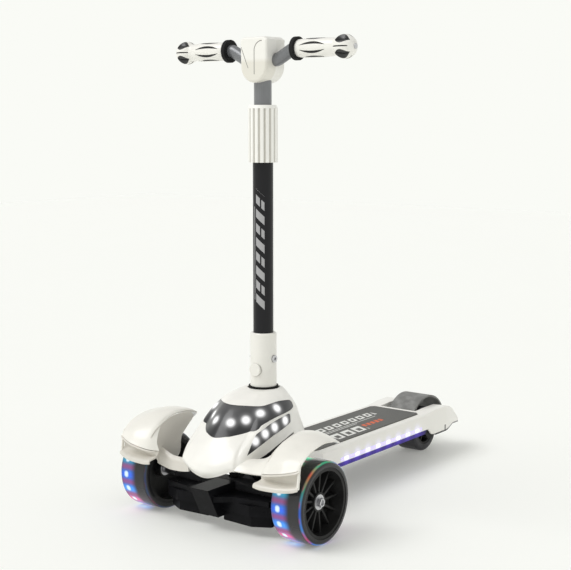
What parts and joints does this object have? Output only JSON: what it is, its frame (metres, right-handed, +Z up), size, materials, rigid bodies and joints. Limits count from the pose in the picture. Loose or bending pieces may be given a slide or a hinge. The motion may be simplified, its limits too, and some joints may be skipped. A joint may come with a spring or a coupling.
{
  "type": "kick scooter",
  "caption": "Three-wheel child's kick scooter with lean-to-steer front truck, height-adjustable T-bar, lit deck and cowl, and a pedal brake over the rear wheel.",
  "frame": {"origin": "on the floor, under the middle of the scooter's overall length and width", "axes": "+Z up, the front of the scooter and the rider's view towards -Y, the rider's left towards +X"},
  "size_m": [0.342, 0.676, 0.713],
  "materials": {
    "white_plastic": "gloss, warm white, moulded",
    "black_plastic": "satin black, moulded",
    "grip_mat": "fine-grained dark grey anti-slip mat with pale graphics",
    "smoked_lens": "smoked, glossy",
    "clear_lamp": "clear, lit",
    "lamp_board": "circuit board with white lamps",
    "tread": "translucent polyurethane, lit from inside",
    "hub_plastic": "satin dark grey with spokes",
    "steel": "zinc plated",
    "black_tube": "satin black powder coat",
    "grey_tube": "satin grey anodised",
    "rubber": "matt black",
    "pedal_grey": "matt mid grey"
  },
  "bodies": {
    "deck": {"battery_case": "black_plastic", "battery_door": "black_plastic", "bracket_screws": "steel", "button_spring": "steel", "collar_wedge": "black_plastic", "cowl_shell": "white_plastic", "deck_shell": "white_plastic", "fender_left": "white_plastic", "fender_right": "white_plastic", "grip_mat": "grip_mat", "head_bracket": "black_tube", "kingpin_bolt": "steel", "kingpin_bushings": "rubber", "kingpin_nut": "steel", "lamp_board": "lamp_board", "outer_tube": "black_tube", "pedal_pin": "steel", "pedal_spring": "steel", "pole_socket": "white_plastic", "rear_axle": "steel", "rear_axle_nuts": "steel", "side_lamp_left": "clear_lamp", "side_lamp_right": "clear_lamp", "side_lens_left": "smoked_lens", "side_lens_right": "smoked_lens", "socket_bolt": "steel", "socket_ring": "rubber", "tray_screws": "steel", "undertray": "black_plastic", "visor_lens": "smoked_lens"},
    "truck": {"truck_beam": "black_tube", "truck_cover": "black_plastic", "front_axle": "steel", "axle_nuts": "steel", "axle_spacers": "steel"},
    "front_wheel_left": {"front_hub_left": "hub_plastic", "front_tyre_left": "tread", "wheel_lamps_left": "clear_lamp", "front_bearings_left": "steel"},
    "front_wheel_right": {"front_hub_right": "hub_plastic", "front_tyre_right": "tread", "wheel_lamps_right": "clear_lamp", "front_bearings_right": "steel"},
    "rear_wheel": {"rear_hub": "hub_plastic", "rear_tyre": "tread", "rear_bearings": "steel"},
    "brake": {"brake_pedal": "pedal_grey"},
    "button": {"release_button": "white_plastic"},
    "collar": {"height_collar": "white_plastic"},
    "bar": {"inner_tube": "grey_tube", "tube_plug": "black_plastic", "handlebar": "grey_tube", "head_front": "white_plastic", "head_rear": "white_plastic", "grip_left": "white_plastic", "grip_right": "white_plastic", "grip_cores": "black_plastic", "grip_flanges": "rubber", "bar_end_screws": "steel"}
  },
  "joints": [
    {"name": "lean_steer", "type": "hinge", "parent": "deck", "child": "truck", "pos_m": [0, -0.238, 0.06], "axis": [0, -0.6428, 0.766], "range_deg": [-8, 8], "stiffness_Nm_per_rad": 80},
    {"name": "front_wheel_left_spin", "type": "hinge", "parent": "truck", "child": "front_wheel_left", "pos_m": [0.144, -0.264, 0.06], "axis": [1, 0, 0], "continuous": true},
    {"name": "front_wheel_right_spin", "type": "hinge", "parent": "truck", "child": "front_wheel_right", "pos_m": [-0.144, -0.264, 0.06], "axis": [1, 0, 0], "continuous": true},
    {"name": "rear_wheel_spin", "type": "hinge", "parent": "deck", "child": "rear_wheel", "pos_m": [0, 0.262, 0.04], "axis": [1, 0, 0], "continuous": true},
    {"name": "brake_press", "type": "hinge", "parent": "deck", "child": "brake", "pos_m": [0, 0.216, 0.064], "axis": [1, 0, 0], "range_deg": [-4.4, 0], "stiffness_Nm_per_rad": 2, "springref_deg": 6.88, "deforming": ["pedal_spring"]},
    {"name": "button_press", "type": "slide", "parent": "deck", "child": "button", "axis": [0, 1, 0], "range_m": [0, 0.0025], "stiffness_N_per_m": 400, "springref_m": -0.002, "deforming": ["button_spring"]},
    {"name": "collar_twist", "type": "hinge", "parent": "deck", "child": "collar", "pos_m": [0, -0.186, 0.573], "axis": [0, 0, 1], "range_deg": [0, 60]},
    {"name": "bar_height", "type": "slide", "parent": "deck", "child": "bar", "axis": [0, 0, 1], "range_m": [-0.028, 0.15]}
  ]
}
